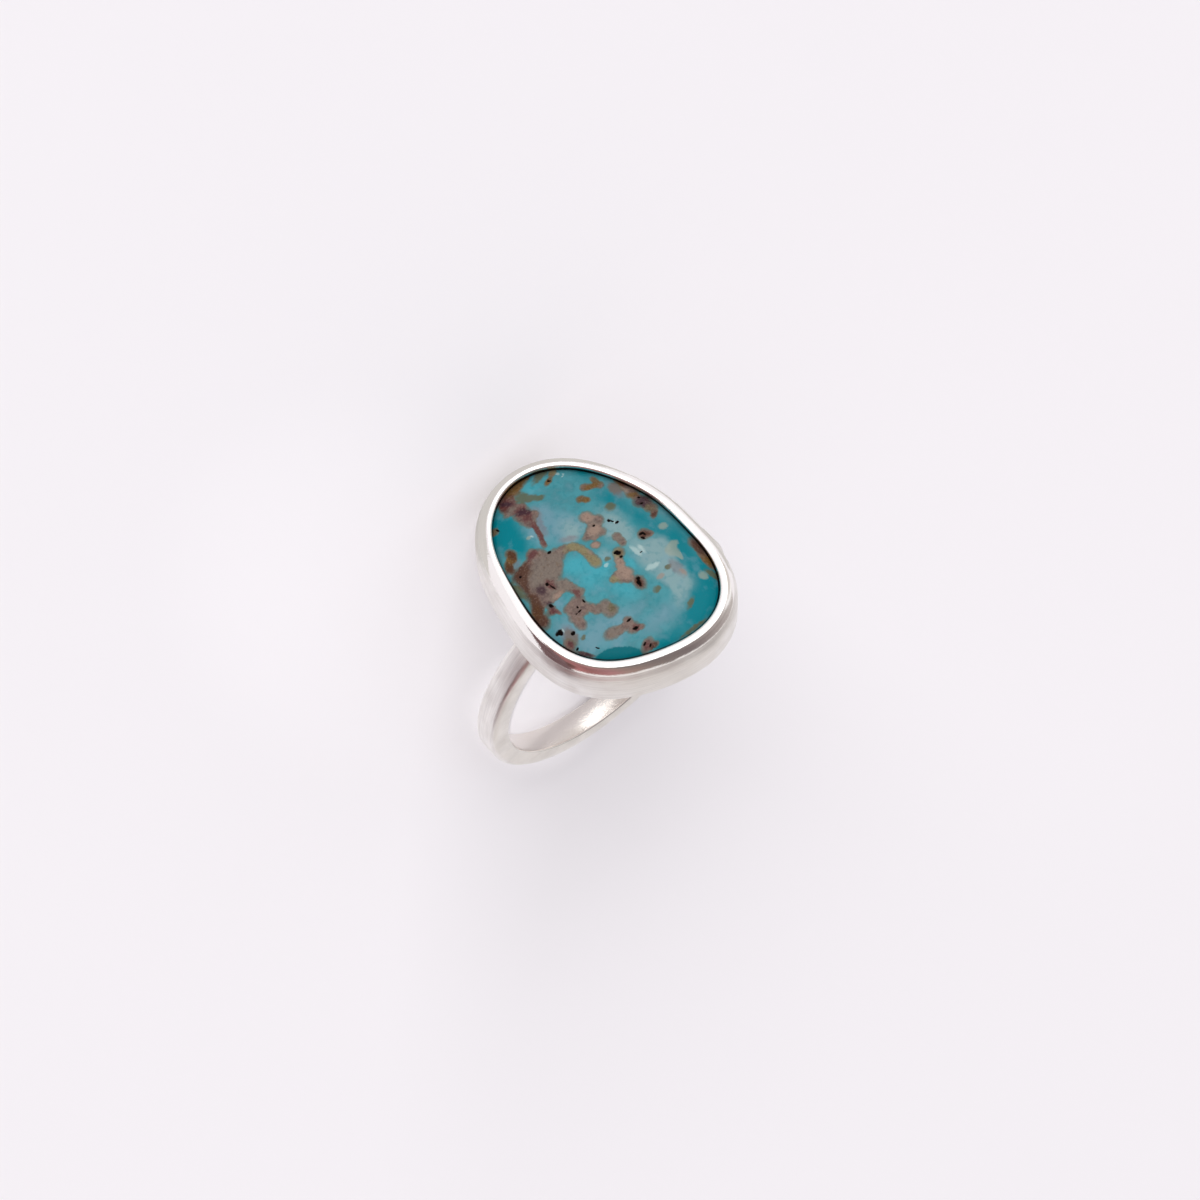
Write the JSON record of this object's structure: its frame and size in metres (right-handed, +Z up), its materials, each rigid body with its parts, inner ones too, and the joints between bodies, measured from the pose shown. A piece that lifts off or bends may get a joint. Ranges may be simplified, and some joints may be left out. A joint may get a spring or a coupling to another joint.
{
  "type": "turquoise ring",
  "caption": "Finger ring lying on its side: an irregular oval turquoise cabochon in a closed silver cup with a thick polished lip, on a plain narrow band.",
  "frame": {"origin": "on the surface that the ring lies on, under the middle of its bounding box", "axes": "+Z up, -Y the way the stone faces, +X across the band"},
  "size_m": [0.02, 0.0242, 0.0171],
  "materials": {
    "silver": "satin band and cup wall, polished lip",
    "turquoise": "polished"
  },
  "bodies": {
    "root": {"silver_ring": "silver", "turquoise_stone": "turquoise"}
  },
  "joints": []
}
